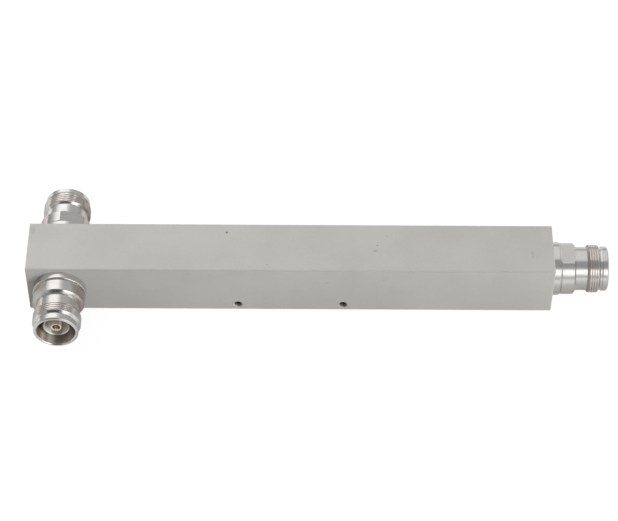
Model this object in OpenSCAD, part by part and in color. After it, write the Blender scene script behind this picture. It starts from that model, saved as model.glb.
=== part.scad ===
// Two-way coaxial power splitter. A square bar body carries the input jack on its end face and
// two output jacks near its other end, one on the front and one on the back. A stepped rod inside
// the bar's round bore joins the three centre contacts, and a screw plug closes the bore.
// The origin is the middle of the body's underside. +X leads out of the input jack, -Y is the
// front, which holds the two mounting holes, and +Z is up.

/* [Body] */
// Length of the square bar
body_length = 219; // [190:1:320]
// Width and height of the square bar
body_side = 25.4; // [25:0.1:30]
// Radius on the bar's four long edges
body_edge_radius = 0.8; // [0.4:0.1:1.6]
// Chamfer round the bar's two end faces
body_end_chamfer = 0.5; // [0.2:0.1:1]
// Diameter of the bore that runs along the bar
cavity_diameter = 18; // [17:0.1:18.6]
// Wall left between the bore and the input jack's face
end_wall = 4.5; // [4:0.1:8]
// Distance from the plugged end to the output jacks' axis
port_inset = 13.5; // [13:0.5:20]

/* [Mounting holes] */
// Distance between the two tapped holes
mount_spacing = 44; // [30:1:80]
// Height of the tapped holes above the underside
mount_height = 3.2; // [3:0.1:3.6]
// Diameter of a tapped hole, at its thread's core
mount_hole_diameter = 3.3; // [2.5:0.1:3.6]
// Diameter of a tapped hole's countersink at the surface
mount_sink_diameter = 4.7; // [4:0.1:5.4]
// Depth of a tapped hole's full diameter
mount_hole_depth = 5.5; // [4:0.5:6]

/* [End plug] */
// Outer diameter of the screw plug
plug_diameter = 20; // [19.5:0.1:21]
// Thickness of the screw plug
plug_thickness = 4; // [3.5:0.1:4.5]
// Depth of the plug's outer face below the bar's end
plug_recess = 0.3; // [0:0.1:0.6]
// Width of the screwdriver slot in the plug
plug_slot_width = 1.6; // [1:0.1:2.4]
// Depth of the screwdriver slot in the plug
plug_slot_depth = 1.1; // [0.6:0.1:1.4]

/* [Jack outside] */
// Diameter of the flange that seats on the body
flange_diameter = 22.2; // [21.8:0.1:24]
// Thickness of the flange
flange_length = 3; // [2:0.1:4]
// Width of the turned relief between flange and wrench section
relief_width = 0.4; // [0.2:0.1:0.8]
// Diameter at the bottom of the turned relief
relief_diameter = 20.4; // [19:0.1:21]
// Diameter of the wrench section
wrench_diameter = 21.4; // [20.6:0.1:22]
// Length of the wrench section
wrench_length = 6.35; // [4:0.05:8]
// Distance across the two wrench flats
wrench_flats = 18.5; // [18.2:0.1:20]
// Chamfer at the outer end of the wrench section
wrench_chamfer = 1.1; // [0.5:0.1:1.4]
// Diameter of the smooth neck behind the thread
neck_diameter = 18.1; // [17.8:0.1:18.4]
// Length of the smooth neck
neck_length = 4.45; // [3:0.05:8]
// Outer diameter of the coupling thread
thread_diameter = 20; // [19.4:0.1:21]
// Length of the coupling thread at full diameter
thread_length = 3.75; // [3:0.05:6]
// Length of the slope that ends the thread at each side
thread_slope = 0.7; // [0.3:0.1:1.2]
// Width of the groove between thread and collar
groove_width = 1.2; // [0.6:0.1:2]
// Diameter of the collar at the mouth
collar_diameter = 18.4; // [18.2:0.1:19]
// Length of the collar at the mouth
collar_length = 2.55; // [2:0.05:4]
// Chamfer on the collar's front edge
collar_chamfer = 0.7; // [0.2:0.1:0.8]
// Diameter of the threaded spigot that screws into the body
spigot_diameter = 16; // [15:0.1:16.4]

/* [Jack inside] */
// Inner diameter of the jack's mouth
mouth_diameter = 15.7; // [15:0.1:16]
// Diameter of the mouth's tapered lead-in at the face
lead_in_diameter = 16.2; // [16:0.1:16.6]
// Length of the mouth's tapered lead-in
lead_in_length = 1.1; // [0.5:0.1:2]
// Depth of the mouth behind the face
mouth_depth = 9.5; // [7:0.1:11]
// Outer diameter of the outer contact's ring
ring_diameter = 11.2; // [11:0.1:12]
// Bore of the outer contact's ring
ring_bore = 10.2; // [9.8:0.1:10.4]
// Depth of the ring's end behind the face
ring_recess = 3; // [2:0.1:4]
// Diameter of the outer contact's seat in the shell
ring_seat_diameter = 13.2; // [12.6:0.1:14]
// Wall of the outer contact at the back of its seat
ring_seat_wall = 1.5; // [1.2:0.1:1.9]
// Diameter of the centre contact's socket
socket_diameter = 4.3; // [4:0.1:5]
// Bore of the centre contact's socket
socket_bore = 3; // [2.6:0.1:3.4]
// Depth of the socket's bore
socket_depth = 8.5; // [6:0.5:10]
// Depth of the socket's tip behind the face
socket_recess = 2.7; // [2:0.1:4]
// Width of the slots that make the socket springy
slot_width = 0.35; // [0.2:0.05:0.5]
// Depth of the slots in the socket
slot_depth = 6.5; // [4:0.5:8]
// Diameter of the centre contact's tail
tail_diameter = 3.2; // [2.6:0.1:3.6]
// Bore through the shell behind the insulator
line_bore = 9.2; // [8:0.1:9.8]
// Diameter of the insulator
insulator_diameter = 11.4; // [11:0.1:12]
// Thickness of the insulator
insulator_length = 4; // [2.5:0.1:5]
// Distance from the body's face to the insulator's back
insulator_place = 2.5; // [1.5:0.1:3]

/* [Inner conductor] */
// Rod beyond the output jacks' axis, towards the plug
rod_overhang = 6.5; // [6:0.1:8]
// Gap between the rod and the wall at the input end
rod_gap = 2; // [1:0.1:4]
// Length of the input contact's tail inside the rod
tail_reach = 8; // [5:0.5:12]
// Thickness of each ring that centres the rod in the bore
support_thickness = 4; // [2:0.5:8]

/* [Seals] */
// Thickness of the rubber rings
seal_section = 0.9; // [0.7:0.05:1]

/* [Turned angle of the wrench flats] */
// Input jack: the flats' normal, from +Z towards -Y
input_flat_turn = 0; // [-90:1:90]
// Front jack: the flats' normal, from +Z towards +X
front_flat_turn = -60; // [-90:1:90]
// Back jack: the flats' normal, from +Z towards +X
back_flat_turn = 16; // [-90:1:90]
// The centre contacts' slots, from the flats' normal
slot_turn = 9; // [-45:1:45]

/* [Hidden] */

$fn = 96;
paint = [0.74, 0.73, 0.71];
nickel = [0.80, 0.79, 0.77];
silver = [0.86, 0.85, 0.82];
gold = [0.78, 0.68, 0.52];
white_plastic = [0.93, 0.93, 0.91];
black_rubber = [0.13, 0.13, 0.13];

// Clearances and cutting allowances
cut_over = 1;
fit_gap = 0.02;
tail_gap = 0.15;
spigot_setback = 0.2;
input_spigot_setback = 1;
edge_break = 0.25;
contact_edge = 0.15;
seal_room = 0.3;
seal_slack = 0.01;

// Places along the body
axis_height = body_side / 2;
junction_x = -body_length / 2 + port_inset;
cavity_end_x = body_length / 2 - end_wall;
side_wall = (body_side - cavity_diameter) / 2;

// Places along a jack, measured outwards from the body's face
output_spigot = side_wall - spigot_setback;
input_spigot = end_wall - input_spigot_setback;
wrench_start = flange_length + relief_width;
wrench_end = wrench_start + wrench_length;
neck_end = wrench_end + neck_length;
thread_start = neck_end + thread_slope;
thread_end = thread_start + thread_length;
groove_start = thread_end + thread_slope;
groove_end = groove_start + groove_width;
jack_length = groove_end + collar_length;
mouth_floor = jack_length - mouth_depth;
insulator_front = insulator_place + insulator_length;
ring_front = jack_length - ring_recess;
socket_front = jack_length - socket_recess;
seal_radius = (spigot_diameter + flange_diameter) / 4;

// How far each contact's tail reaches behind the body's face
output_tail = body_side / 2 - tail_gap;
input_tail = end_wall + rod_gap + tail_reach;

// The rod's steps: a quarter-wave transformer from the two outputs in parallel to the input.
// Each share is how far a step's impedance has moved from the input's to the junction's.
input_ohms = 50;
junction_ohms = input_ohms / 2;
coaxial_ohms = 60;
step_shares = [15 / 16, 11 / 16, 5 / 16, 1 / 16];
step_count = len(step_shares);
step_length = (cavity_end_x - rod_gap - junction_x) / step_count;
function step_ohms(share) = input_ohms * pow(junction_ohms / input_ohms, share);
function step_radius(i) = cavity_diameter / 2 * exp(-step_ohms(step_shares[i]) / coaxial_ohms);

// Places a jack's parts, which are drawn about +Z with the body's face at zero
module at_input() {
    translate([body_length / 2, 0, axis_height]) rotate([0, 90, 0]) rotate(input_flat_turn)
        children();
}

module at_front() {
    translate([junction_x, -body_side / 2, axis_height]) rotate([90, 0, 0])
        rotate(90 - front_flat_turn) children();
}

module at_back() {
    translate([junction_x, body_side / 2, axis_height]) rotate([-90, 0, 0])
        rotate(back_flat_turn - 90) children();
}

// Turns a shape drawn along +Z to run along +X on the bore's axis, from the given place
module along_bore(x) {
    translate([x, 0, axis_height]) rotate([0, 90, 0]) children();
}

module rounded_square(side, radius) {
    square([side, side - 2 * radius], center = true);
    square([side - 2 * radius, side], center = true);
    for (sx = [-1, 1], sy = [-1, 1])
        translate([sx, sy] * (side / 2 - radius)) circle(radius);
}

// The bar's outline from the side or from above: its ends narrow by the chamfer, and its long
// sides lie a cutting allowance outside the bar
module end_chamfered() {
    end_x = body_length / 2;
    end_y = body_side / 2 - body_end_chamfer;
    side_x = end_x - body_end_chamfer - cut_over;
    side_y = body_side / 2 + cut_over;
    linear_extrude(body_side + 2 * cut_over, center = true) polygon([
        [-end_x, -end_y], [-side_x, -side_y], [side_x, -side_y], [end_x, -end_y],
        [end_x, end_y], [side_x, side_y], [-side_x, side_y], [-end_x, end_y]]);
}

module bar() {
    intersection() {
        translate([-body_length / 2, 0, 0]) rotate([0, 90, 0])
            linear_extrude(body_length) rounded_square(body_side, body_edge_radius);
        end_chamfered();
        rotate([90, 0, 0]) end_chamfered();
    }
}

// A blind tapped hole with its drill point and countersink, drilled along +Z from zero
module tapped_hole() {
    sink_depth = (mount_sink_diameter - mount_hole_diameter) / 2;
    translate([0, 0, -cut_over])
        cylinder(h = mount_hole_depth + cut_over, d = mount_hole_diameter);
    translate([0, 0, mount_hole_depth])
        cylinder(h = mount_hole_diameter / 4, d1 = mount_hole_diameter, d2 = 0);
    cylinder(h = sink_depth, d1 = mount_sink_diameter, d2 = mount_hole_diameter);
}

module housing() {
    color(paint) difference() {
        translate([0, 0, axis_height]) bar();
        along_bore(-body_length / 2 - cut_over)
            cylinder(h = body_length - end_wall + cut_over, d = cavity_diameter);
        along_bore(-body_length / 2 - cut_over)
            cylinder(h = plug_recess + plug_thickness + cut_over, d = plug_diameter);
        along_bore(cavity_end_x - cut_over)
            cylinder(h = end_wall + 2 * cut_over, d = spigot_diameter + 2 * fit_gap);
        translate([junction_x, 0, axis_height]) rotate([90, 0, 0])
            cylinder(h = body_side + 2 * cut_over, d = spigot_diameter + 2 * fit_gap, center = true);
        for (sx = [-1, 1])
            translate([sx * mount_spacing / 2, -body_side / 2, mount_height]) rotate([-90, 0, 0])
                tapped_hole();
    }
}

// The screw plug, drawn from its outer face inwards, with a groove for its seal
module end_plug() {
    radius = plug_diameter / 2 - fit_gap;
    groove_wide = seal_section + seal_room;
    groove_from = (plug_thickness - groove_wide) / 2;
    color(nickel) along_bore(-body_length / 2 + plug_recess) difference() {
        rotate_extrude() polygon([
            [0, 0], [radius - edge_break, 0], [radius, edge_break], [radius, groove_from],
            [radius - seal_section, groove_from], [radius - seal_section, groove_from + groove_wide],
            [radius, groove_from + groove_wide], [radius, plug_thickness - edge_break],
            [radius - edge_break, plug_thickness], [0, plug_thickness]]);
        translate([-plug_slot_width / 2, -plug_diameter / 2, -cut_over])
            cube([plug_slot_width, plug_diameter, plug_slot_depth + cut_over]);
    }
}

module rubber_ring(mean_radius) {
    color(black_rubber) rotate_extrude() translate([mean_radius, 0])
        circle(seal_section / 2 - seal_slack);
}

module end_plug_seal() {
    along_bore(-body_length / 2 + plug_recess + plug_thickness / 2)
        rubber_ring(plug_diameter / 2 - seal_section / 2);
}

// The stepped rod, with a cross hole for the output tails and an end hole for the input tail
module inner_conductor() {
    hole = tail_diameter + 2 * fit_gap;
    rod_end = step_count * step_length;
    color(silver) along_bore(junction_x) difference() {
        rotate_extrude() polygon(concat(
            [[0, -rod_overhang], [step_radius(0) - edge_break, -rod_overhang],
             [step_radius(0), -rod_overhang + edge_break]],
            [for (i = [0 : step_count - 1], end = [0, 1])
                if (i + end > 0) [step_radius(i), (i + end) * step_length]],
            [[0, rod_end]]));
        rotate([90, 0, 0])
            cylinder(h = cavity_diameter, d = hole, center = true);
        translate([0, 0, rod_end - tail_reach - tail_gap])
            cylinder(h = tail_reach + tail_gap + cut_over, d = hole);
    }
}

// A ring on the rod's given step, seated against the shoulder of the thicker step before it
module support(step) {
    color(white_plastic) along_bore(junction_x + step * step_length) difference() {
        cylinder(h = support_thickness, d = cavity_diameter - 2 * fit_gap);
        translate([0, 0, -cut_over])
            cylinder(h = support_thickness + 2 * cut_over, r = step_radius(step) + fit_gap);
    }
}

// The jack's turned shell: spigot, flange, wrench section, neck, thread, groove and collar
// outside, and outside the insulator and the contacts the line's bore, two seats and the mouth
module shell(spigot_length) {
    spigot = spigot_diameter / 2;
    flange = flange_diameter / 2;
    wrench = wrench_diameter / 2;
    neck = neck_diameter / 2;
    collar = collar_diameter / 2;
    insulator_seat = insulator_diameter / 2 + fit_gap;
    ring_seat = ring_seat_diameter / 2 + fit_gap;
    seal_half = (seal_section + seal_room) / 2;
    color(nickel) difference() {
        rotate_extrude() polygon([
            [line_bore / 2, -spigot_length], [spigot - edge_break, -spigot_length],
            [spigot, -spigot_length + edge_break], [spigot, 0],
            [seal_radius - seal_half, 0], [seal_radius - seal_half, seal_section],
            [seal_radius + seal_half, seal_section], [seal_radius + seal_half, 0],
            [flange, 0], [flange, flange_length - edge_break],
            [flange - edge_break, flange_length], [relief_diameter / 2, flange_length],
            [relief_diameter / 2, wrench_start], [wrench - edge_break, wrench_start],
            [wrench, wrench_start + edge_break], [wrench, wrench_end - wrench_chamfer],
            [wrench - wrench_chamfer, wrench_end], [neck, wrench_end], [neck, neck_end],
            [thread_diameter / 2, thread_start], [thread_diameter / 2, thread_end],
            [neck, groove_start], [neck, groove_end], [collar, groove_end],
            [collar, jack_length - collar_chamfer], [collar - collar_chamfer, jack_length],
            [lead_in_diameter / 2, jack_length],
            [mouth_diameter / 2, jack_length - lead_in_length],
            [mouth_diameter / 2, mouth_floor], [ring_seat, mouth_floor],
            [ring_seat, insulator_front], [insulator_seat, insulator_front],
            [insulator_seat, insulator_place], [line_bore / 2, insulator_place]]);
        for (side = [0, 180]) rotate(side)
            translate([wrench_flats / 2, -wrench, wrench_start])
                cube([wrench, wrench_diameter, wrench_length]);
    }
}

// The ring that mates with the plug's outer contact, pressed into the shell by its wider seat
module outer_contact() {
    ring = ring_diameter / 2;
    bore = ring_bore / 2;
    seat = ring_seat_diameter / 2;
    color(nickel) rotate_extrude() polygon([
        [seat - ring_seat_wall, insulator_front], [seat, insulator_front], [seat, mouth_floor],
        [ring, mouth_floor], [ring, ring_front - contact_edge],
        [ring - contact_edge, ring_front], [bore + contact_edge, ring_front],
        [bore, ring_front - contact_edge], [bore, mouth_floor]]);
}

// The washer that centres the contact and closes the line, between shell and outer contact
module insulator() {
    color(white_plastic) translate([0, 0, insulator_place]) difference() {
        cylinder(h = insulator_length, d = insulator_diameter);
        translate([0, 0, -cut_over])
            cylinder(h = insulator_length + 2 * cut_over, d = tail_diameter + 2 * fit_gap);
    }
}

// The centre contact: a slotted socket whose shoulder seats on the insulator, and a plain tail
module centre_contact(tail) {
    socket = socket_diameter / 2;
    bore = socket_bore / 2;
    stem = tail_diameter / 2;
    bore_floor = socket_front - socket_depth;
    color(gold) difference() {
        rotate_extrude() polygon([
            [0, -tail], [stem - contact_edge, -tail], [stem, -tail + contact_edge],
            [stem, insulator_front], [socket, insulator_front],
            [socket, socket_front - contact_edge], [socket - contact_edge, socket_front],
            [bore + contact_edge, socket_front], [bore, socket_front - contact_edge],
            [bore, bore_floor], [0, bore_floor - bore / 2]]);
        rotate(slot_turn) for (turn = [0, 90]) rotate(turn)
            translate([-slot_width / 2, -socket_diameter, socket_front - slot_depth])
                cube([slot_width, 2 * socket_diameter, slot_depth + cut_over]);
    }
}

module flange_seal() {
    translate([0, 0, seal_section / 2]) rubber_ring(seal_radius);
}

housing();
end_plug();
end_plug_seal();
inner_conductor();
support(1);  // junction_support
support(3);  // input_support
at_input() shell(input_spigot);  // input_shell
at_input() outer_contact();  // input_outer_contact
at_input() insulator();  // input_insulator
at_input() centre_contact(input_tail);  // input_centre_contact
at_input() flange_seal();  // input_seal
at_front() shell(output_spigot);  // front_shell
at_front() outer_contact();  // front_outer_contact
at_front() insulator();  // front_insulator
at_front() centre_contact(output_tail);  // front_centre_contact
at_front() flange_seal();  // front_seal
at_back() shell(output_spigot);  // back_shell
at_back() outer_contact();  // back_outer_contact
at_back() insulator();  // back_insulator
at_back() centre_contact(output_tail);  // back_centre_contact
at_back() flange_seal();  // back_seal
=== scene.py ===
"""The looks of a two-way coaxial power splitter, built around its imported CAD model.

A painted square bar carries three plated jacks: one on its end, and two near the other end, at
the front and at the back. Pieces are modelled in millimetres about their own axis, and then set
in place in metres. The x axis leads out of the input jack, minus y is the front, and z is up.
"""
import logging
import math
from dataclasses import dataclass, field
from enum import Enum
from typing import Callable, ClassVar

import bpy
from mathutils import Matrix, Vector


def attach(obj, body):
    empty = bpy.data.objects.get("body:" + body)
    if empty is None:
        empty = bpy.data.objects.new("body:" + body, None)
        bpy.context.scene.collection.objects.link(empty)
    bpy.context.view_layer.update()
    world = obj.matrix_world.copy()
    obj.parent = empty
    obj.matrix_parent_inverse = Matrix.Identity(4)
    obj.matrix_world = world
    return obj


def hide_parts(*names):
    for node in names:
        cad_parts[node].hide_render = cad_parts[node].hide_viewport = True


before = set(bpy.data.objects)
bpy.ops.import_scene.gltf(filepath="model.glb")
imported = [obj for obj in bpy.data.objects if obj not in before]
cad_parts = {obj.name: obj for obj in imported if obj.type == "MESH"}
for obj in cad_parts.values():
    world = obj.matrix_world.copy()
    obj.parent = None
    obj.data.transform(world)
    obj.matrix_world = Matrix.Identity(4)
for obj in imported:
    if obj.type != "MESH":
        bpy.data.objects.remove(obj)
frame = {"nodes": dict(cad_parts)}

logging.basicConfig(level=logging.INFO, format="%(message)s")
log = logging.getLogger("splitter")

MM = 0.001
BODY = "root"
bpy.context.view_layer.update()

Colour = tuple[float, float, float]
Point = tuple[float, float, float]
Span = tuple[float, float]
Pairs = tuple[Span, ...]


def srgb(red: int, green: int, blue: int) -> Colour:
    """Gives the linear colour of a colour named by three screen values.

    Args:
        red: Screen value from 0 to 255.
        green: Screen value from 0 to 255.
        blue: Screen value from 0 to 255.

    Returns:
        The three linear values.
    """
    def linear(value: int) -> float:
        """Undoes the screen's curve for one value."""
        share = value / 255
        return share / 12.92 if share <= 0.04045 else ((share + 0.055) / 1.055) ** 2.4
    return linear(red), linear(green), linear(blue)


class Cap(Enum):
    """How a turned piece ends."""

    LOOP = "its outline runs back to its start"
    FACES = "a flat face closes each end"


class Jack(Enum):
    """The three jacks: the input's on the bar's end, the outputs' at the front and the back."""

    INPUT = "input"
    FRONT = "front"
    BACK = "back"


# Modelling


@dataclass(frozen=True)
class Outline:
    """Half of a turned piece's section, as corners that get a small round each.

    Attributes:
        corners: Radius and height of each corner, in millimetres.
        edge: Size of the round on each corner.
        closed: Whether the last corner joins the first.
        steps: Pieces that each round is made of.
    """

    corners: Pairs
    edge: float = 0.07
    closed: bool = True
    steps: int = 3

    def stations(self) -> list[Span]:
        """Rounds the corners.

        Returns:
            Radius and height of each ring of the turned piece.
        """
        points = [Vector(corner) for corner in self.corners]
        count = len(points)
        rings: list[Span] = []
        for index, corner in enumerate(points):
            if not self.closed and index in (0, count - 1):
                rings.append(tuple(corner))
                continue
            before, after = points[index - 1] - corner, points[(index + 1) % count] - corner
            reach = min(self.edge, before.length * 0.45, after.length * 0.45)
            if before.angle(-after) < math.radians(4):
                rings.append(tuple(corner))
                continue
            start, end = corner + before.normalized() * reach, corner + after.normalized() * reach
            for step in range(self.steps + 1):
                share = step / self.steps
                spot = start.lerp(corner, share).lerp(corner.lerp(end, share), share)
                rings.append(tuple(spot))
        return rings


class Bench:
    """The operators that the pieces are made with. Sizes are in millimetres until settle."""

    @staticmethod
    def clear() -> None:
        """Leaves edit mode and deselects everything."""
        if bpy.context.object and bpy.context.object.mode != "OBJECT":
            bpy.ops.object.mode_set(mode="OBJECT")
        bpy.ops.object.select_all(action="DESELECT")

    @staticmethod
    def take(piece: bpy.types.Object) -> None:
        """Selects one piece alone and makes it active."""
        Bench.clear()
        piece.select_set(True)
        bpy.context.view_layer.objects.active = piece

    @staticmethod
    def bake_place() -> None:
        """Moves the selected piece's place, turn and size into its mesh."""
        bpy.ops.object.transform_apply(location=True, rotation=True, scale=True)

    @staticmethod
    def turn(name: str, outline: Outline, segments: int, cap: Cap = Cap.LOOP,
             extra: Pairs = ()) -> bpy.types.Object:
        """Turns a piece about +z from its outline, ring by ring.

        Args:
            name: The piece's name.
            outline: Its section.
            segments: How many sides its rings have.
            cap: How it ends.
            extra: Rings to put in, in order of height, between the corners beside them.

        Returns:
            The turned piece.
        """
        rings = outline.stations()
        if extra:
            after = max(i for i, ring in enumerate(rings)
                        if ring[1] < extra[0][1] and ring[0] > extra[0][0] - 0.6)
            rings[after + 1:after + 1] = list(extra)
        if cap is Cap.LOOP:
            rings.append(rings[0])
        Bench.clear()
        radius, height = rings[0]
        bpy.ops.mesh.primitive_circle_add(vertices=segments, radius=radius,
                                          location=(0, 0, height))
        piece = bpy.context.object
        piece.name = piece.data.name = name
        Bench.bake_place()
        bpy.ops.object.mode_set(mode="EDIT")
        bpy.ops.mesh.select_mode(type="EDGE")
        bpy.ops.mesh.select_all(action="SELECT")
        if cap is Cap.FACES:
            bpy.ops.mesh.edge_face_add()
            bpy.ops.mesh.select_all(action="SELECT")
        for (was_radius, was_height), (radius, height) in zip(rings, rings[1:]):
            bpy.ops.mesh.extrude_edges_move(
                TRANSFORM_OT_translate={"value": (0, 0, height - was_height)})
            size = radius / was_radius
            bpy.ops.transform.resize(value=(size, size, 1), center_override=(0, 0, height))
        if cap is Cap.FACES:
            bpy.ops.mesh.edge_face_add()
        bpy.ops.mesh.select_all(action="SELECT")
        bpy.ops.mesh.remove_doubles(threshold=0.0005)
        bpy.ops.mesh.normals_make_consistent(inside=False)
        bpy.ops.object.mode_set(mode="OBJECT")
        return piece

    @staticmethod
    def block(size: Point, centre: Point) -> bpy.types.Object:
        """Adds a cutter with square edges.

        Args:
            size: Its length, width and height.
            centre: Its middle.

        Returns:
            The block.
        """
        Bench.clear()
        bpy.ops.mesh.primitive_cube_add(size=1, location=centre)
        bpy.ops.transform.resize(value=size, center_override=centre)
        Bench.bake_place()
        return bpy.context.object

    @staticmethod
    def drill(radius: float, tip_radius: float, depth: float, place: Matrix,
              segments: int = 96) -> bpy.types.Object:
        """Adds a round or tapered cutter, which starts at a place and runs along its +z.

        Args:
            radius: Radius where it starts.
            tip_radius: Radius where it ends.
            depth: Its length.
            place: Where it starts and which way it points.
            segments: How many sides it has.

        Returns:
            The cutter.
        """
        Bench.clear()
        bpy.ops.mesh.primitive_cone_add(vertices=segments, radius1=radius, radius2=tip_radius,
                                        depth=depth, location=(0, 0, depth / 2))
        cutter = bpy.context.object
        Bench.bake_place()
        cutter.matrix_world = place
        Bench.bake_place()
        return cutter

    @staticmethod
    def cut(piece: bpy.types.Object, cutters: list[bpy.types.Object]) -> None:
        """Cuts a piece with each cutter in turn, and takes the cutters away."""
        for cutter in cutters:
            Bench.take(piece)
            bpy.ops.object.modifier_add(type="BOOLEAN")
            tool = piece.modifiers[-1]
            tool.operation, tool.solver, tool.object = "DIFFERENCE", "EXACT", cutter
            bpy.ops.object.modifier_apply(modifier=tool.name)
            bpy.data.objects.remove(cutter)

    @staticmethod
    def settle(piece: bpy.types.Object, place: Matrix) -> None:
        """Sets a piece in place, in metres, with its place in its mesh.

        Args:
            piece: A piece modelled in millimetres about its own axis.
            place: Where its axis starts and points, in millimetres.
        """
        Bench.take(piece)
        piece.matrix_world = Matrix.Scale(MM, 4) @ place
        Bench.bake_place()

    @staticmethod
    def smooth(piece: bpy.types.Object, angle: float = 35) -> None:
        """Shades a piece smooth but for its sharp edges, with large faces kept flat."""
        Bench.take(piece)
        bpy.ops.object.shade_smooth_by_angle(angle=math.radians(angle))
        bpy.ops.object.modifier_add(type="WEIGHTED_NORMAL")
        weighted = piece.modifiers[-1]
        weighted.keep_sharp, weighted.weight = True, 80
        bpy.ops.object.modifier_apply(modifier=weighted.name)

    @staticmethod
    def copy(piece: bpy.types.Object, name: str) -> bpy.types.Object:
        """Gives a copy of a piece, with its own mesh."""
        twin = piece.copy()
        twin.data = piece.data.copy()
        twin.name = twin.data.name = name
        bpy.context.scene.collection.objects.link(twin)
        return twin


def hand_over(piece: bpy.types.Object, material: bpy.types.Material, slot: str,
              *nodes: str) -> None:
    """Gives a piece its finish and lets it stand for CAD nodes.

    Args:
        piece: A finished piece.
        material: What it is dressed in.
        slot: The name of the record's material slot for the piece; not used.
        nodes: The CAD nodes that it stands for.
    """
    piece.data.materials.clear()
    piece.data.materials.append(material)
    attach(piece, BODY)
    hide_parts(*nodes)
    log.info("%s: %d faces, for %s", piece.name, len(piece.data.polygons), ", ".join(nodes))


# Materials


def both_ways(operation: str) -> tuple[Callable, Callable]:
    """Makes one of a wire's operators and its reflected form, for a number on the left.

    Args:
        operation: The Math node's operation.

    Returns:
        The operator and its reflected form.
    """
    def forward(self: "Wire", other: "Wire | float") -> "Wire":
        """Does the sum with this value first."""
        return self._sum(operation, self, other)

    def reflected(self: "Wire", other: float) -> "Wire":
        """Does the sum with the number first."""
        return self._sum(operation, other, self)
    return forward, reflected


class Wire:
    """One output of a node. Sums on it add Math nodes to the same material."""

    def __init__(self, sheet: "Sheet", socket: bpy.types.NodeSocket) -> None:
        """Keeps the socket and the material that it belongs to."""
        self.sheet, self.socket = sheet, socket

    def _sum(self, operation: str, *values: "Wire | float") -> "Wire":
        """Adds a Math node for one operation."""
        return self.sheet.add("ShaderNodeMath", {"operation": operation},
                              dict(enumerate(values)))

    __add__, __radd__ = both_ways("ADD")
    __sub__, __rsub__ = both_ways("SUBTRACT")
    __mul__, __rmul__ = both_ways("MULTIPLY")
    __truediv__, __rtruediv__ = both_ways("DIVIDE")

    def power(self, exponent: float) -> "Wire":
        """Raises to a power."""
        return self._sum("POWER", self, exponent)

    def size(self) -> "Wire":
        """Drops the sign."""
        return self._sum("ABSOLUTE", self)

    def larger(self, other: "Wire | float") -> "Wire":
        """Gives the larger of two values."""
        return self._sum("MAXIMUM", self, other)

    def rise(self, start: float, end: float, low: float = 0.0, high: float = 1.0) -> "Wire":
        """Goes smoothly from low to high as this value goes from start to end.

        Args:
            start: Where the rise starts.
            end: Where it ends, which may be below start.
            low: The result at the start.
            high: The result at the end.

        Returns:
            The eased value.
        """
        if start > end:
            start, end, low, high = end, start, high, low
        return self.sheet.add("ShaderNodeMapRange", {"interpolation_type": "SMOOTHSTEP"},
                              {"Value": self, "From Min": start, "From Max": end,
                               "To Min": low, "To Max": high})

    def within(self, low: float, high: float, soft: float) -> "Wire":
        """Gives 1 between two values and 0 outside them, with soft ends."""
        return (self.rise(low - soft, low + soft) * self.rise(high + soft, high - soft))


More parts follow.
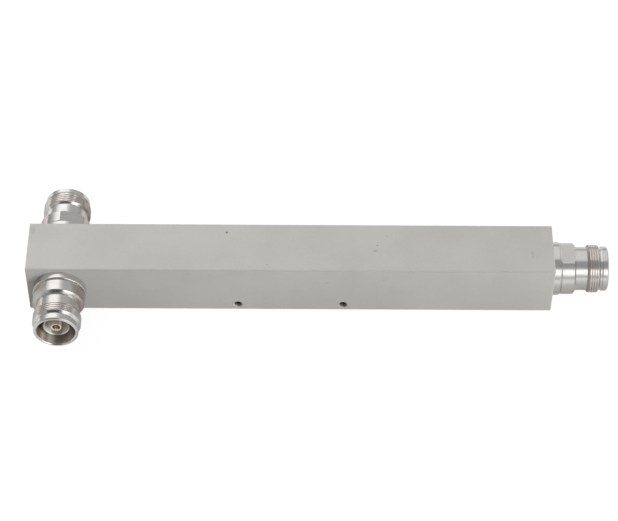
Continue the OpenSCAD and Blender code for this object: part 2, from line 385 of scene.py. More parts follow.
class Sheet:
    """A node tree that a material or the world is drawn on."""

    def __init__(self, tree: bpy.types.NodeTree) -> None:
        """Starts from an empty tree."""
        self.tree = tree
        tree.nodes.clear()

    def add(self, kind: str, settings: dict | None = None, values: dict | None = None,
            output: str | int = 0) -> Wire:
        """Adds any node.

        Args:
            kind: The node's type.
            settings: What is set on the node first. A ramp's stops are pairs of place and grey.
            values: The values or wires of its sockets, by name or number.
            output: The output that is wanted.

        Returns:
            The wire from that output.
        """
        node = self.tree.nodes.new(kind)
        for name, setting in (settings or {}).items():
            if name == "stops":
                self._stops(node.color_ramp, setting)
            else:
                setattr(node, name, setting)
        for name, value in (values or {}).items():
            socket = node.inputs[name]
            if isinstance(value, Wire):
                self.tree.links.new(value.socket, socket)
            elif isinstance(value, tuple) and socket.type == "RGBA" and len(value) == 3:
                socket.default_value = (*value, 1)
            else:
                socket.default_value = value
        return Wire(self, node.outputs[output] if node.outputs else None)

    @staticmethod
    def _stops(ramp: bpy.types.ColorRamp, stops: list[Span]) -> None:
        """Sets the stops of a grey ramp."""
        while len(ramp.elements) < len(stops):
            ramp.elements.new(0.5)
        for element, (place, grey) in zip(ramp.elements, sorted(stops)):
            element.position, element.color = place, (grey, grey, grey, 1)

    def mix(self, share: Wire | float, first: Wire | Colour, second: Wire | Colour) -> Wire:
        """Mixes two colours."""
        return self.add("ShaderNodeMix", {"data_type": "RGBA"},
                        {0: share, 6: first, 7: second}, output=2)

    def tint(self, colour: Wire | Colour, share: Wire | float) -> Wire:
        """Scales a colour or a vector by a factor."""
        return self.add("ShaderNodeVectorMath", {"operation": "SCALE"},
                        {0: colour, "Scale": share})

    def vector(self, operation: str, *values: Wire | Point, output: str | int = 0) -> Wire:
        """Does vector maths."""
        return self.add("ShaderNodeVectorMath", {"operation": operation},
                        dict(enumerate(values)), output=output)

    def dot(self, first: Wire, second: Wire | Point) -> Wire:
        """Gives the dot product of two vectors."""
        return self.vector("DOT_PRODUCT", first, second, output="Value")

    def part(self, vector: Wire, number: int) -> Wire:
        """Gives one of a vector's three values."""
        return self.add("ShaderNodeSeparateXYZ", {}, {0: vector}, output=number)

    def ray(self, kind: str) -> Wire:
        """Gives 1 for rays of one kind, and 0 for the others."""
        return self.add("ShaderNodeLightPath", output=f"Is {kind} Ray")

    def join(self, first: Wire | float, second: Wire | float, third: Wire | float) -> Wire:
        """Joins three values to a vector."""
        return self.add("ShaderNodeCombineXYZ", {}, {0: first, 1: second, 2: third})

    def noise(self, place: Wire, scale: float, detail: float = 2, rough: float = 0.5) -> Wire:
        """Gives a cloudy value from 0 to 1."""
        return self.add("ShaderNodeTexNoise", {},
                        {"Vector": place, "Scale": scale, "Detail": detail, "Roughness": rough})

    def place(self) -> Wire:
        """Gives a point's place on the part, in millimetres."""
        return self.tint(self.add("ShaderNodeTexCoord", output="Object"), 1 / MM)

    def bump(self, height: Wire, depth: float, strength: float) -> Wire:
        """Turns a height into a normal.

        Args:
            height: The height, from 0 to 1.
            depth: What a height of 1 stands for, in millimetres.
            strength: How strongly it shows.

        Returns:
            The normal.
        """
        return self.add("ShaderNodeBump", {},
                        {"Height": height, "Distance": depth * MM, "Strength": strength})


def blank_material(name: str) -> tuple[bpy.types.Material, Sheet]:
    """Makes a material and empties its node tree.

    Args:
        name: The material's name.

    Returns:
        The material, and the sheet to draw its nodes on.
    """
    material = bpy.data.materials.new(name)
    material.use_nodes = True
    return material, Sheet(material.node_tree)


class Finish:
    """What every finish shares: a material of its name with one Principled shader."""

    name: str

    def draw(self, sheet: Sheet) -> dict:
        """Gives the values and wires of the shader's sockets. Each finish has its own."""
        raise NotImplementedError

    def material(self) -> bpy.types.Material:
        """Makes the material.

        Returns:
            The finished material.
        """
        material, sheet = blank_material(self.name)
        shader = sheet.add("ShaderNodeBsdfPrincipled", {}, self.draw(sheet))
        sheet.add("ShaderNodeOutputMaterial", {}, {"Surface": shader})
        return material


@dataclass(frozen=True)
class Spot:
    """A small mark in the paint; some stand for painted shade and reflection.

    Attributes:
        centre: Its middle, in millimetres.
        reach: How far it reaches along x, y and z.
        share: How strongly it shows.
        colour: Its colour.
    """

    centre: Point
    reach: Point
    share: float
    colour: Colour = srgb(84, 82, 76)


@dataclass(frozen=True)
class BarPaint(Finish):
    """Pale grey powder paint with a fine orange peel, faint clouds and a few marks.

    Attributes:
        colour: The paint.
        cloud: The paint where it is a little duller.
        grain: Size of the peel's dimples, in millimetres.
        spots: The marks, a painted reflection of the back jack, a painted shade line along the
            upper front edge, and the tapped holes, dark for their bare thread and as painted
            shade.
    """

    name: str = "pale_grey_paint"
    colour: Colour = srgb(189, 187, 183)
    cloud: Colour = srgb(182, 181, 177)
    grain: float = 0.55
    spots: tuple[Spot, ...] = (
        Spot((-26.8, 8.0, 25.4), (0.55, 0.6, 1), 0.8),
        Spot((36.0, 1.3, 25.4), (0.35, 0.35, 1), 0.75),
        Spot((35.1, -1.75, 25.4), (1.0, 0.3, 1), 0.6),
        Spot((-9.9, -9.4, 25.4), (0.9, 0.25, 1), 0.25),
        Spot((40.2, 6.5, 25.4), (0.5, 0.5, 1), 0.2),
        Spot((100.4, -3.2, 25.4), (0.6, 2.2, 1), 0.13),
        Spot((15.2, -12.7, 17.6), (0.9, 1, 0.9), 0.16),
        Spot((38.8, -12.7, 19.1), (0.7, 1, 0.5), 0.16),
        # Painted reflection of the back jack's flange: a dark patch at the top back corner.
        Spot((-107.9, 8.8, 25.4), (1.5, 2.4, 2), 0.16, srgb(120, 112, 98)),
        # Painted shade: a darker line along the upper front edge.
        Spot((0, -12.7, 25.4), (400, 0.75, 0.75), 0.11),
        # The tapped holes: darker for their bare thread, and as painted shade in the recess.
        *(Spot((x, -9.6, 3.2), (3.2, 2.9, 3.2), 0.85, srgb(52, 50, 46)) for x in (-22, 22)))

    def draw(self, sheet: Sheet) -> dict:
        """Draws the paint."""
        place = sheet.place()
        clouds = sheet.noise(place, 0.035, 4, 0.6).rise(0.35, 0.7)
        colour = sheet.mix(clouds, self.colour, self.cloud)
        flecks = sheet.noise(place, 1.6, 3, 0.7)
        colour = sheet.tint(colour, flecks.rise(0.25, 0.75, 0.965, 1.03))
        for spot in self.spots:
            away = sheet.vector("SUBTRACT", place, spot.centre)
            away = sheet.vector("DIVIDE", away, spot.reach)
            ragged = sheet.noise(place, 1.3, 2) * 0.5 - 0.25
            reach = sheet.vector("LENGTH", away, output="Value") + ragged
            colour = sheet.mix(reach.rise(1.15, 0.55) * spot.share, colour, spot.colour)
        peel = sheet.noise(place, 1 / self.grain, 2, 0.45)
        return {"Base Color": colour,
                "Roughness": sheet.noise(place, 0.5, 3).rise(0.3, 0.7, 0.5, 0.6),
                "Normal": sheet.bump(peel, 0.02, 0.5),
                "Specular IOR Level": 0.4}


@dataclass(frozen=True)
class Turned(Finish):
    """Bright plating on a turned piece: fine rings, a matt flat, and painted shade and
    reflections.

    Attributes:
        start: Where the piece's axis starts, in millimetres.
        axis: Which way the axis points.
        flat: Which way the milled flats face, if it has any.
        colour: The plating.
        root: Its colour at the bottom of the thread.
        wall: Its colour inside its bore, where the plating is thin and dull; the lit end of the
            bore's painted light.
        stain: The bore's colour along its lowest and highest wall: painted shade and painted
            reflection.
        bore_light_stops: How bright the bore's wall is painted from side to side, in stops:
            painted highlights and shade.
        hollow: Radius of that bore, or 0 if the piece has none.
        metal: How metallic it is outside the bore.
        slope_shade_tone: How pale the slope before the thread is painted, as painted shade. A
            duller slope is rougher too.
        reflected_bar_tint: Tint of the flanks, a painted reflection of the bar's face that makes
            them darker and browner.
        is_shell: Whether the thread, the flats and the lip are there.
        flats, wrench, slope, thread, groove: Where these lie along a shell, in millimetres.
        mouth: Where the chamfer at its mouth starts.
        flat_out: How far the flats are from the axis.
    """

    name: str
    start: Point
    axis: Point
    flat: Point = (0, 0, 1)
    colour: Colour = (0.73, 0.715, 0.695)
    root: Colour = (0.62, 0.545, 0.485)
    wall: Colour = (0.70, 0.64, 0.58)
    stain: Colour = (0.17, 0.14, 0.115)
    bore_light_stops: Pairs = (
        (0.0, 0.0), (0.05, 0.05), (0.12, 0.75), (0.2, 0.25), (0.29, 0.9), (0.38, 0.5),
        (0.47, 0.1), (0.6, 0.15), (0.73, 0.6), (0.85, 1.0), (0.93, 0.3), (1.0, 0.1))
    roughness: float = 0.18
    hollow: float = 7.85
    metal: float = 1.0
    slope_shade_tone: float = 1.0
    reflected_bar_tint: Colour = (1.0, 1.0, 1.0)
    is_shell: bool = True
    flats: ClassVar[Span] = (3.4, 9.35)
    wrench: ClassVar[Span] = (3.3, 9.4)
    slope: ClassVar[Span] = (14.2, 15.05)
    thread: ClassVar[Span] = (15.05, 18.85)
    groove: ClassVar[Span] = (19.0, 19.5)
    mouth: ClassVar[float] = 22.6
    flat_out: ClassVar[float] = 9.5

    def draw(self, sheet: Sheet) -> dict:
        """Draws the plating."""
        place = sheet.vector("SUBTRACT", sheet.place(), self.start)
        along, square = sheet.dot(place, self.axis), sheet.dot(place, place)
        radius = (square - along * along).larger(0).power(0.5)
        rings = sheet.noise(sheet.join(along, radius, 0.0), 9, 4, 0.75)
        blotch = sheet.noise(place, 0.35, 3)
        colour = sheet.tint(self.colour, rings.rise(0.2, 0.8, 0.93, 1.04))
        colour = sheet.tint(colour, blotch.rise(0.3, 0.7, 0.97, 1.02))
        rough = rings.rise(0.3, 0.8, self.roughness, self.roughness + 0.09)
        relief, metal = rings, self.metal
        if self.hollow:
            inside = along.rise(self.mouth, self.mouth - 0.1)
            inside = radius.rise(self.hollow + 0.1, self.hollow) * inside
            across = tuple(Vector(self.axis).cross((0, 0, 1)))
            side = sheet.dot(place, across) / self.hollow
            # Painted highlights, reflections and shade on the bore's wall, from side to side.
            bore_light = sheet.add("ShaderNodeValToRGB", {"stops": list(self.bore_light_stops)},
                               {0: 0.5 - side * 0.5})
            colour = sheet.mix(inside, colour, sheet.mix(bore_light, self.stain, self.wall))
            rough, metal = rough + inside * 0.14, self.metal * (1 - inside * 0.88)
        if self.is_shell:
            thread = along.within(*self.thread, 0.05) * radius.rise(8.9, 9.0)
            deep = radius.rise(9.98, 9.78) * 0.62 + 0.22
            colour = sheet.mix(thread * deep, colour, self.root)
            facing = sheet.dot(place, self.flat).size()
            facing = facing.within(self.flat_out - 0.02, self.flat_out + 0.02, 0.012)
            flat = along.within(*self.flats, 0.02) * facing
            lip = along.rise(self.mouth, self.mouth + 0.1) * radius.rise(8.3, 8.35)
            slope = along.within(*self.slope, 0.03) * radius.rise(9.02, 9.06)
            colour = sheet.mix(flat, colour, sheet.tint(colour, 0.87))
            # Painted shade: the slope before the thread is made darker.
            colour = sheet.mix(slope, colour, sheet.tint(colour, self.slope_shade_tone))
            # Painted reflection of the bar's face: the flanks below the groove are made darker and
            # browner.
            out, wrench = side * self.hollow, along.within(*self.wrench, 0.05)
            reflected_bar_mask = out.rise(5.0, 8.5).larger(out.rise(-5.0, -8.5) * wrench) * (1 - flat)
            reflected_bar_mask = reflected_bar_mask * along.rise(*reversed(self.groove)) * (wrench * 0.25 + 0.75)
            colour = sheet.mix(reflected_bar_mask, colour, sheet.vector("MULTIPLY", colour, self.reflected_bar_tint))
            rough = rough + flat * 0.2 + lip * 0.2 + slope * (0.9 * (1 - self.slope_shade_tone))
            milled = sheet.noise(place, 4.2, 3)
            relief = relief * (1 - flat) + milled * flat
        return {"Base Color": colour, "Metallic": metal, "Roughness": rough,
                "Normal": sheet.bump(relief, 0.004, 0.6)}


@dataclass(frozen=True)
class Plain(Finish):
    """An even finish with fine clouds and grain, for plastic, rubber and the hidden rod.

    Attributes:
        colour: Its colour.
        cloud: Its colour where it is duller.
        metallic: 1 for metal, and 0 for the rest.
        roughness: How matt it is.
        grain: Size of its grain, in millimetres.
    """

    name: str
    colour: Colour
    cloud: Colour
    metallic: float = 0.0
    roughness: float = 0.4
    grain: float = 0.4

    def draw(self, sheet: Sheet) -> dict:
        """Draws the finish."""
        place = sheet.place()
        colour = sheet.mix(sheet.noise(place, 0.6, 4).rise(0.3, 0.7), self.colour, self.cloud)
        grain = sheet.noise(place, 1 / self.grain, 3, 0.6)
        return {"Base Color": colour, "Metallic": self.metallic,
                "Roughness": grain.rise(0.3, 0.7, self.roughness - 0.05, self.roughness + 0.05),
                "Normal": sheet.bump(grain, 0.006, 0.5)}


# The part


@dataclass
class Bar:
    """The square bar: painted, bored along its length, with the jacks' holes and two tapped holes.

    Sizes are in millimetres.
    """

    length: float = 219.0
    side: float = 25.4
    edge_radius: float = 0.55
    left_end_round: float = 0.3
    right_end_round: float = 0.5
    bore: float = 9.0
    end_wall: float = 4.5
    port_inset: float = 13.5
    port_radius: float = 8.02
    plug_radius: float = 10.0
    plug_seat: float = 4.3
    hole_spacing: float = 44.0
    hole_height: float = 3.2
    hole_radius: float = 1.65
    hole_depth: float = 5.5
    sink_radius: float = 1.95
    over: float = 1.0

    @property
    def axis_height(self) -> float:
        """Height of the bore's axis."""
        return self.side / 2

    @property
    def junction(self) -> float:
        """Place of the output jacks along the bar."""
        return self.port_inset - self.length / 2

    def along(self, x: float) -> Matrix:
        """Gives a place on the bore's axis that points along +x."""
        return Matrix.Translation((x, 0, self.axis_height)) @ Matrix.Rotation(
            math.pi / 2, 4, "Y")

    def outward(self, side: int, turn: float) -> Matrix:
        """Gives an output jack's place on the front (-1) or back (1) face, turned by degrees."""
        return (Matrix.Translation((self.junction, side * self.side / 2, self.axis_height))
                @ Matrix.Rotation(-side * math.pi / 2, 4, "X")
                @ Matrix.Rotation(math.radians(turn), 4, "Z"))

    def inward(self, x: float, depth: float, height: float) -> Matrix:
        """Gives a place on the front face, or a depth behind it, that points inwards."""
        return Matrix.Translation((x, depth - self.side / 2, height)) @ Matrix.Rotation(
            -math.pi / 2, 4, "X")

    def _round_edges(self, piece: bpy.types.Object, end: int, size: float,
                     segments: int) -> None:
        """Bevels the bar's long edges (0), or those round its left (-1) or right (1) end."""
        Bench.take(piece)
        bpy.ops.object.mode_set(mode="EDIT")
        bpy.ops.mesh.select_mode(type="EDGE")
        bpy.ops.mesh.select_all(action="DESELECT")
        bpy.ops.object.mode_set(mode="OBJECT")
        limit = self.length / 2 - 0.01
        for edge in piece.data.edges:
            first, second = (piece.data.vertices[i].co for i in edge.vertices)
            along = abs(first.x - second.x) > self.length / 2
            on_end = min(first.x * end, second.x * end) > limit
            edge.select = on_end if end else along
        bpy.ops.object.mode_set(mode="EDIT")
        bpy.ops.mesh.bevel(offset=size, segments=segments, profile=0.5)
        bpy.ops.object.mode_set(mode="OBJECT")

    def build(self, paint: bpy.types.Material) -> bpy.types.Object:
        """Makes the bar.

        Args:
            paint: What it is dressed in.

        Returns:
            The finished bar.
        """
        bar = Bench.block((self.length, self.side, self.side), (0, 0, self.axis_height))
        bar.name = bar.data.name = "painted_bar"
        self._round_edges(bar, 0, self.edge_radius, 6)
        self._round_edges(bar, -1, self.left_end_round, 3)
        self._round_edges(bar, 1, self.right_end_round, 4)
        start, over = -self.length / 2, self.over
        cutters = [
            Bench.drill(self.bore, self.bore, self.length - self.end_wall + over,
                        self.along(start - over)),
            Bench.drill(self.plug_radius, self.plug_radius, self.plug_seat + over,
                        self.along(start - over)),
            Bench.drill(self.port_radius, self.port_radius, self.end_wall + 2 * over,
                        self.along(self.length / 2 - self.end_wall - over)),
            Bench.drill(self.port_radius, self.port_radius, self.side + 2 * over,
                        self.inward(self.junction, -over, self.axis_height))]
        sink = self.sink_radius - self.hole_radius
        for side in (-1, 1):
            x = side * self.hole_spacing / 2
            cutters += [
                Bench.drill(self.hole_radius, self.hole_radius, self.hole_depth + over,
                            self.inward(x, -over, self.hole_height), 64),
                Bench.drill(self.sink_radius + sink, self.hole_radius - 0.01, 2 * sink + 0.01,
                            self.inward(x, -sink, self.hole_height), 64)]
        Bench.cut(bar, cutters)
        Bench.settle(bar, Matrix.Identity(4))
        Bench.smooth(bar)
        hand_over(bar, paint, "body_paint", "housing")
        return bar


@dataclass
class EndPlug:
    """The screw plug that closes the bore: a turned disc with a seal groove and a driver slot."""

    radius: float = 9.98
    thickness: float = 4.0
    recess: float = 0.3
    edge: float = 0.25
    groove_from: float = 1.4
    groove_to: float = 2.6
    groove_depth: float = 0.9
    slot_width: float = 1.6
    slot_depth: float = 1.1

    def build(self, bar: Bar) -> bpy.types.Object:
        """Makes the plug.

        Args:
            bar: The bar that it closes.

        Returns:
            The finished plug.
        """
        r, e, t, low = self.radius, self.edge, self.thickness, self.radius - self.groove_depth
        outline = Outline(((0.5, 0), (r - e, 0), (r, e), (r, self.groove_from),
                           (low, self.groove_from), (low, self.groove_to), (r, self.groove_to),
                           (r, t - e), (r - e, t), (0.5, t)), closed=False)
        plug = Bench.turn("end_plug_disc", outline, 128, Cap.FACES)
        Bench.cut(plug, [Bench.block((self.slot_width, 2 * r + 2, 2 * self.slot_depth),
                                     (0, 0, 0))])
        place = bar.along(self.recess - bar.length / 2)
        Bench.settle(plug, place)
        Bench.smooth(plug)
        metal = Turned("plug_metal", tuple(place.translation), (1, 0, 0),
                       colour=(0.70, 0.69, 0.67), roughness=0.28, hollow=0.0, is_shell=False)
        hand_over(plug, metal.material(), "plug_metal", "end_plug")
        return plug


@dataclass
class JackParts:
    """A coaxial jack's shell and contacts, drawn about +z with the bar's face at zero.

    The outline's values are radii and heights in millimetres.
    """

    segments: int = 160
    pitch: float = 1.0
    crest: float = 10.0
    root: float = 9.74
    neck: float = 9.05
    thread_from: float = 14.25
    thread_to: float = 19.65
    thread_slope: float = 0.8
    rings_per_turn: int = 16
    flat_from: float = 3.4
    flat_to: float = 9.35
    flat_out: float = 9.5
    wrench: float = 10.7
    socket_front: float = 20.4
    slot_width: float = 0.35
    slot_depth: float = 6.5
    slot_turn: float = 9.0
    templates: dict[str, bpy.types.Object] = field(default_factory=dict)

    shell_corners: ClassVar[Pairs] = (
        (4.6, -3.5), (7.75, -3.5), (8.0, -3.25), (8.0, 0), (8.95, 0), (8.95, 0.9), (10.15, 0.9),
        (10.15, 0), (11.1, 0), (11.1, 2.75), (10.85, 3.0), (10.2, 3.0), (10.2, 3.4),
        (10.45, 3.4), (10.7, 3.65), (10.7, 8.65), (9.95, 9.35), (9.05, 9.35), (9.05, 14.15),
        (8.9, 19.75), (8.9, 20.6), (9.3, 20.75), (9.3, 22.6), (8.7, 23.1), (8.25, 23.1),
        (7.85, 22.65), (7.85, 13.6), (6.62, 13.6), (6.62, 6.5), (5.72, 6.5), (5.72, 2.5),
        (4.6, 2.5))
    ring_corners: ClassVar[Pairs] = (
        (4.98, 6.5), (6.6, 6.5), (6.6, 13.6), (5.45, 13.6), (5.45, 20.1), (5.3, 20.1),
        (4.98, 19.8))

    def _hull(self, height: float) -> float:
        """Gives the thread section's radius before the thread is cut."""
        rise = min(height - self.thread_from, self.thread_to - height) / self.thread_slope
        return self.neck + (self.crest - self.neck) * min(max(rise, 0), 1)

    @property
    def thread_length(self) -> float:
        """How far the cut ridges reach, from where the thread starts to its last slope."""
        return self.thread_to - self.thread_from - self.thread_slope

    def _cut_thread(self, shell: bpy.types.Object) -> None:
        """Cuts a right-hand thread by drawing its vertices in to the tooth's outline."""
        for vertex in shell.data.vertices:
            spot = vertex.co
            radius = math.hypot(spot.x, spot.y)
            if not self.thread_from <= spot.z <= self.thread_to or radius < self.neck - 0.1:
                continue
            turn = math.atan2(spot.y, spot.x) / (2 * math.pi)
            wave = 0.5 + 0.5 * math.cos(2 * math.pi * (spot.z / self.pitch - turn))
            tooth = min(max(3.2 * wave - 0.35, 0), 1)
            if not self.thread_slope < spot.z - self.thread_from < self.thread_length:
                tooth = 1
            cut = self.root + (self.crest - self.root) * tooth
            size = min(self._hull(spot.z), cut) / radius
            spot.x, spot.y = spot.x * size, spot.y * size

    def shell(self) -> bpy.types.Object:
        """Makes the shell once: turned, with a cut thread and two milled flats.

        Returns:
            The template, of which each jack gets a copy.
        """
        count = round((self.thread_to - self.thread_from) * self.rings_per_turn / self.pitch)
        step = (self.thread_to - self.thread_from) / count
        heights = [self.thread_from + step * i for i in range(count + 1)]
        extra = tuple((self._hull(height), height) for height in heights)
        shell = Bench.turn("shell_template", Outline(self.shell_corners), self.segments,
                           extra=extra)
        self._cut_thread(shell)
        height, middle = self.flat_to - self.flat_from, (self.flat_to + self.flat_from) / 2
        Bench.cut(shell, [
            Bench.block((self.wrench, 2.5 * self.wrench, height),
                        (side * (self.flat_out + self.wrench / 2), 0, middle))
            for side in (-1, 1)])
        return shell

    def outer_contact(self) -> bpy.types.Object:
        """Makes the ring that mates with the plug's outer contact.

        Returns:
            The template.
        """
        return Bench.turn("ring_template", Outline(self.ring_corners), self.segments)

    def centre_contact(self, tail: float) -> bpy.types.Object:
        """Makes a slotted socket with its tail.

        Args:
            tail: How far the tail reaches behind the bar's face.

        Returns:
            The template.
        """
        front = self.socket_front
        outline = Outline(((0.3, -tail), (1.6, -tail), (1.6, 6.5), (2.15, 6.5), (2.15, front),
                           (1.72, front), (1.5, front - 0.22), (1.5, front - 8.5),
                           (0.1, front - 9.25)), edge=0.08, closed=False)
        contact = Bench.turn("contact_template", outline, 64, Cap.FACES)
        slots = []
        for turn in (0, 90):
            slot = Bench.block((self.slot_width, 6, self.slot_depth + 1),
                               (0, 0, front - self.slot_depth / 2 + 0.5))
            slot.matrix_world = Matrix.Rotation(math.radians(self.slot_turn + turn), 4, "Z")
            Bench.take(slot)
            Bench.bake_place()
            slots.append(slot)
        Bench.cut(contact, slots)
        return contact

    def template(self, kind: str, *sizes: float) -> bpy.types.Object:
        """Gives a template, made the first time that it is asked for."""
        key = kind + "".join(f"_{size}" for size in sizes)
        if key not in self.templates:
            self.templates[key] = getattr(self, kind)(*sizes)
        return self.templates[key]

    def clear_away(self) -> None:
        """Takes the templates away."""
        for template in self.templates.values():
            bpy.data.objects.remove(template)
        self.templates.clear()


@dataclass
class FittedJack:
    """One jack in its place on the bar.

    Attributes:
        jack: Which of the three it is.
        place: Where its axis starts on the bar's face, which way it points and how it is turned.
        tail: How far its centre contact reaches behind the bar's face.
    """

    jack: Jack
    place: Matrix
    tail: float

    def direction(self, axis: Point) -> Point:
        """Turns a direction of the jack's own to the part's."""
        return tuple(self.place.to_3x3() @ Vector(axis))

    def build(self, parts: JackParts) -> None:
        """Sets copies of the jack's pieces in place and dresses them.

        Args:
            parts: The maker of the templates.
        """
        name = self.jack.value
        start, axis = tuple(self.place.translation), self.direction((0, 0, 1))
        flat = self.direction((1, 0, 0))
        # Painted shade on the input's slope, and a painted reflection of the bar on the outputs'
        # flanks.
        painted_shading = ({"slope_shade_tone": 0.68} if self.jack is Jack.INPUT
                else {"reflected_bar_tint": (0.77, 0.71, 0.65)})
        nickel = Turned(f"{name}_shell_plating", start, axis, flat, **painted_shading)
        # Painted light in the ring's and socket's bores: a painted reflection of the socket in the
        # ring's middle, painted shade at the socket's sides.
        silver = Turned(f"{name}_ring_plating", start, axis, colour=(0.78, 0.76, 0.73),
                        wall=(0.95, 0.93, 0.90), stain=(0.42, 0.36, 0.29),
                        bore_light_stops=((0.0, 0.6), (0.22, 1.0), (0.27, 0.2), (0.4, 0.0), (0.66, 0.0),
                                 (0.7, 0.5), (0.74, 1.0), (1.0, 0.9)),
                        roughness=0.24, hollow=5.0, is_shell=False)
        tan = Turned(f"{name}_socket_plating", start, axis, colour=(0.97, 0.85, 0.68),
                     wall=(0.85, 0.66, 0.55), stain=(0.12, 0.08, 0.055),
                     bore_light_stops=((0.0, 0.0), (0.2, 0.0), (0.3, 1.0), (0.7, 1.0), (0.8, 0.0)),
                     roughness=0.3, hollow=1.55, metal=0.45, is_shell=False)
        pieces = (("shell", (), nickel, "jack_plating"),
                  ("outer_contact", (), silver, "contact_plating"),
                  ("centre_contact", (self.tail,), tan, "centre_plating"))
        for kind, sizes, finish, slot in pieces:
            piece = Bench.copy(parts.template(kind, *sizes), f"{name}_{kind}_made")
            Bench.settle(piece, self.place)
            Bench.smooth(piece)
            hand_over(piece, finish.material(), slot, f"{name}_{kind}")


@dataclass
class Hidden:
    """The CAD nodes that stay as they are, each with a finish of its own."""

    plastic: Plain = Plain("white_plastic", srgb(226, 222, 212), srgb(214, 209, 197),
                           roughness=0.42)
    rubber: Plain = Plain("black_rubber", srgb(38, 37, 36), srgb(30, 30, 30), roughness=0.62,
                          grain=0.2)
    rod: Plain = Plain("silver_rod", (0.82, 0.80, 0.75), (0.76, 0.74, 0.68), metallic=1.0,
                       roughness=0.3, grain=0.25)

    def dress(self, nodes: dict[str, bpy.types.Object]) -> None:
        """Gives each node its finish.

        Args:
            nodes: The CAD nodes by name.
        """
        finishes = {"insulator": self.plastic.material(), "support": self.plastic.material(),
                    "seal": self.rubber.material(), "conductor": self.rod.material()}
        for name, node in nodes.items():
            for ending, material in finishes.items():
                if name.endswith(ending):
                    for slot in node.material_slots:
                        slot.material = material
                    log.info("%s: %s", name, material.name)


# The studio


@dataclass(frozen=True)
class Lamp:
    """A soft square lamp that faces the part. Gloss shows the screens in its stead.

    Attributes:
        name: Its name.
        place: Where it hangs, in metres.
        side: Its side.
        power: Its power in watts.
    """

    name: str
    place: Point
    side: float
    power: float

    def hang(self) -> None:
        """Hangs the lamp."""
        Bench.clear()
        bpy.ops.object.light_add(type="AREA", location=self.place)
        lamp = bpy.context.object
        lamp.name = self.name
        lamp.data.size, lamp.data.energy = self.side, self.power
        lamp.rotation_euler = Vector(self.place).to_track_quat("Z", "Y").to_euler()
        lamp.visible_glossy = False


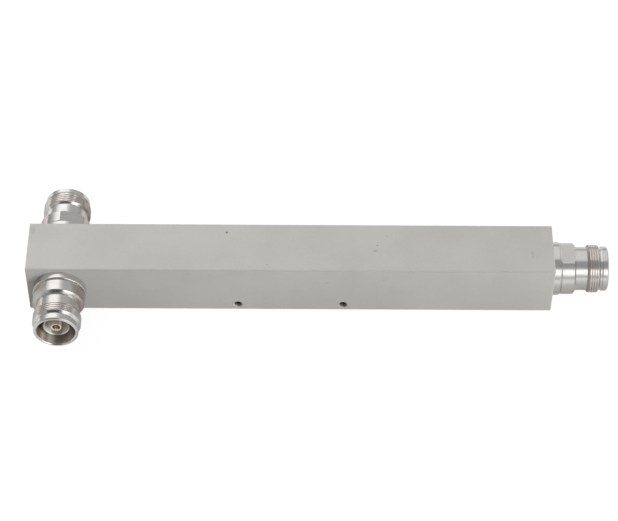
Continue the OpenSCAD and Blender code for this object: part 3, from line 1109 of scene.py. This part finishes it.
@dataclass
class Studio:
    """A plain pale floor, soft lights, and a sky of pale screens that only gloss shows.

    The screens are given by elevation, from the front horizon over the zenith to the back one.
    Places are in metres, the camera's angles in degrees, and its lens and sensor in millimetres.
    """

    daylight: float = 0.45
    lamps: tuple[Lamp, ...] = (
        Lamp("back_left_lamp", (-0.6, 0.3, 0.42), 0.5, 4.05),
        Lamp("front_right_lamp", (0.95, -0.75, 0.45), 0.6, 11.6))
    flag_low: Point = (-0.30, -0.325, 0.05)
    flag_high: Point = (0.008, -0.325, 0.346)
    flag_glow: float = 0.10
    floor_drop: float = 0.0002
    floor_right: float = 140
    floor_colour: Colour = (0.56, 0.56, 0.55)
    floor_near_shaded: Colour = (0.72, 0.72, 0.71)
    floor_far: Colour = (0.93, 0.93, 0.92)
    camera_place: Point = (0.00661, -0.58970, 0.71442)
    elevation: float = 49.7685
    roll: float = 0.2936
    lens: float = 127.05
    sensor: float = 36
    shift: Span = (0.004126, -0.000971)
    right_screens: Pairs = (
        (0, 0.8), (3, 0.6), (5, 0.52), (9, 0.55), (13, 0.75), (18, 1.1), (21, 1.7), (44, 1.7),
        (46, 0.38), (88, 0.36), (91, 0.72), (105, 0.77), (150, 0.74), (161, 0.72), (165, 0.36),
        (177, 0.36), (180, 0.7))
    far_right_screens: Pairs = (
        (0, 0.6), (9, 0.5), (15, 1.6), (44, 1.8), (46, 0.38), (88, 0.36), (91, 0.5),
        (150, 0.5), (165, 0.42), (175, 0.42))
    left_screens: Pairs = (
        (0, 0.35), (14, 0.4), (20, 0.7), (44, 0.7), (48, 0.36), (88, 0.34), (92, 1.25),
        (165, 1.3), (175, 0.9))
    far_left_screens: Pairs = (
        (0, 0.34), (14, 0.34), (18, 0.46), (88, 0.42), (92, 0.36), (175, 0.36))

    def _screens(self, sheet: Sheet, direction: Wire) -> Wire:
        """Draws the sky that gloss shows.

        Args:
            sheet: The world's tree.
            direction: Which way a ray goes.

        Returns:
            The sky's brightness in that direction.
        """
        across, forth, height = (sheet.part(direction, number) for number in range(3))
        turn = sheet.add("ShaderNodeMath", {"operation": "ARCTAN2"},
                         {0: height, 1: 0 - forth}) / math.pi

        def sky(stops: Pairs) -> Wire:
            """Draws one strip of screens, halved to stay within a ramp's range."""
            pairs = [(degrees / 180, value / 2) for degrees, value in stops]
            return sheet.add("ShaderNodeValToRGB", {"stops": pairs}, {0: turn.larger(0)})

        strips = sheet.mix(across.rise(-0.74, -0.46), sky(self.far_left_screens),
                           sky(self.left_screens))
        strips = sheet.mix(across.rise(0.0, 0.11), strips, sky(self.right_screens))
        warm = sheet.mix(turn.rise(0.77, 0.88), (1.0, 1.0, 1.0), (1.02, 0.985, 0.94))
        far_right = sheet.vector("MULTIPLY", sky(self.far_right_screens), warm)
        strips = sheet.mix(across.rise(0.17, 0.25), strips, far_right)
        return sheet.tint(strips, 2.0)

    def world(self) -> None:
        """Makes the world: even daylight, a white background and the screens in gloss."""
        world = bpy.data.worlds.new("studio")
        bpy.context.scene.world = world
        world.use_nodes = True
        sheet = Sheet(world.node_tree)
        direction = sheet.add("ShaderNodeTexCoord", output="Generated")
        daylight = (self.daylight,) * 3
        seen, gloss, through = map(sheet.ray, ("Camera", "Glossy", "Transmission"))
        colour = sheet.mix(gloss, daylight, self._screens(sheet, direction))
        colour = sheet.mix(seen.larger(through), colour, (1.0, 1.0, 1.0))
        background = sheet.add("ShaderNodeBackground", {}, {"Color": colour, "Strength": 1.0})
        sheet.add("ShaderNodeOutputWorld", {}, {"Surface": background})

    def floor(self) -> None:
        """Lays a pale floor that keeps the part's shadow."""
        Bench.clear()
        bpy.ops.mesh.primitive_plane_add(size=8, location=(0, 0, -self.floor_drop))
        floor = bpy.context.object
        floor.name = "studio_floor"
        material, sheet = blank_material("studio_floor")
        seen, gloss, through = map(sheet.ray, ("Camera", "Glossy", "Transmission"))
        matt = sheet.add("ShaderNodeBsdfDiffuse", {}, {"Color": self.floor_colour})
        # What gloss sees of the floor is painted darker near the part: painted shade.
        place = sheet.place()
        right = sheet.part(place, 0) - self.floor_right
        out = sheet.part(place, 1).size().larger(right)
        mirrored = sheet.add("ShaderNodeBsdfDiffuse", {}, {
            "Color": sheet.mix(out.rise(25, 90), self.floor_near_shaded, self.floor_far)})
        shade = sheet.add("ShaderNodeBsdfDiffuse", {}, {"Color": (0.16, 0.16, 0.16)})
        glow = sheet.add("ShaderNodeEmission", {}, {"Color": (1.0, 1.0, 1.0), "Strength": 0.90})
        white = sheet.add("ShaderNodeAddShader", {}, {0: shade, 1: glow})
        surface = sheet.add("ShaderNodeMixShader", {}, {0: gloss, 1: matt, 2: mirrored})
        surface = sheet.add("ShaderNodeMixShader", {},
                            {0: seen.larger(through), 1: surface, 2: white})
        sheet.add("ShaderNodeOutputMaterial", {}, {"Surface": surface})
        floor.data.materials.append(material)

    def flag(self) -> None:
        """Hangs a dark board upright along x. Only gloss shows it, and it throws no shadow."""
        Bench.clear()
        low, high = Vector(self.flag_low), Vector(self.flag_high)
        middle = (low + high) / 2
        bpy.ops.mesh.primitive_plane_add(size=1, location=middle, rotation=(math.pi / 2, 0, 0))
        board = bpy.context.object
        bpy.ops.transform.resize(value=(high.x - low.x, 1, high.z - low.z),
                                 center_override=middle)
        board.name = "studio_flag"
        material, sheet = blank_material("studio_flag")
        dark = sheet.add("ShaderNodeEmission", {},
                         {"Color": (1.0, 1.0, 1.0), "Strength": self.flag_glow})
        sheet.add("ShaderNodeOutputMaterial", {}, {"Surface": dark})
        board.data.materials.append(material)
        board.visible_camera = board.visible_diffuse = False
        board.visible_shadow = board.visible_transmission = False

    def camera(self) -> None:
        """Sets the camera at the photograph's viewing angle."""
        elevation, roll = math.radians(self.elevation), math.radians(self.roll)
        right, up = Vector((1, 0, 0)), Vector((0, math.sin(elevation), math.cos(elevation)))
        tilted_right = right * math.cos(roll) + up * math.sin(roll)
        tilted_up = up * math.cos(roll) - right * math.sin(roll)
        facing = tilted_right.cross(tilted_up)
        data = bpy.data.cameras.new("camera")
        data.sensor_width, data.lens = self.sensor, self.lens
        data.shift_x, data.shift_y = self.shift
        data.clip_start, data.clip_end = 0.01, 20
        camera = bpy.data.objects.new("camera", data)
        bpy.context.scene.collection.objects.link(camera)
        turn = Matrix((tilted_right, tilted_up, facing)).transposed().to_4x4()
        camera.matrix_world = Matrix.Translation(self.camera_place) @ turn
        bpy.context.scene.camera = camera

    def build(self) -> None:
        """Makes the studio."""
        bpy.context.scene.view_settings.view_transform = "Standard"
        self.world()
        self.floor()
        self.flag()
        for lamp in self.lamps:
            lamp.hang()
        self.camera()
        log.info("studio: floor, flag, two lamps and a camera")


INPUT_TAIL, OUTPUT_TAIL = 14.5, 12.55
FRONT_TURN, BACK_TURN = 145, -70


def main() -> None:
    """Builds the part and the studio."""
    Studio().build()
    bar = Bar()
    bar.build(BarPaint().material())
    EndPlug().build(bar)
    parts = JackParts()
    FittedJack(Jack.INPUT, bar.along(bar.length / 2), INPUT_TAIL).build(parts)
    FittedJack(Jack.FRONT, bar.outward(-1, FRONT_TURN), OUTPUT_TAIL).build(parts)
    FittedJack(Jack.BACK, bar.outward(1, BACK_TURN), OUTPUT_TAIL).build(parts)
    parts.clear_away()
    Hidden().dress(frame["nodes"])


if __name__ == "__main__":
    main()
